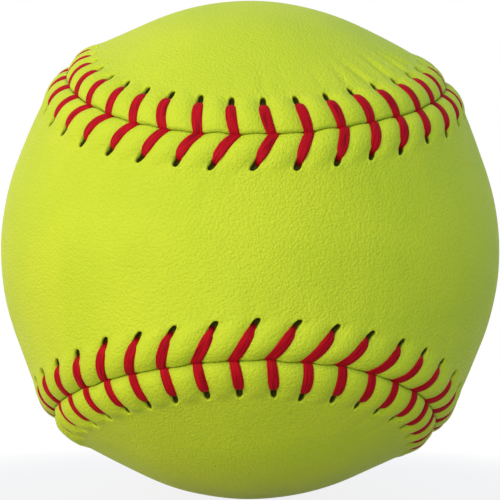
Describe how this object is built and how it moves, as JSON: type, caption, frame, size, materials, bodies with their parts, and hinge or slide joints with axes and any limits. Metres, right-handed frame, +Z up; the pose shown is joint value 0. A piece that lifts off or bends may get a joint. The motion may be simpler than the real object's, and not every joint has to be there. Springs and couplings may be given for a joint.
{
  "type": "softball",
  "caption": "Stitched ball: solid moulded core in a cover of two equal leather panels, laced along a raised seam with waxed thread.",
  "frame": {"origin": "centre of the ball", "axes": "+Z up, -Y towards the middle of the front panel's waist, +X towards that panel's right lobe"},
  "size_m": [0.097, 0.1001, 0.097],
  "materials": {
    "moulded_core": "moulded polyurethane, dull",
    "latex_cement": "dried latex cement, satin",
    "cover_leather": "optic yellow, fine pebble grain, satin",
    "waxed_thread": "red waxed thread, low sheen"
  },
  "bodies": {
    "root": {"core": "moulded_core", "cement_film": "latex_cement", "cover_panel_front": "cover_leather", "cover_panel_back": "cover_leather", "lacing_thread_first": "waxed_thread", "lacing_thread_second": "waxed_thread"}
  },
  "joints": []
}
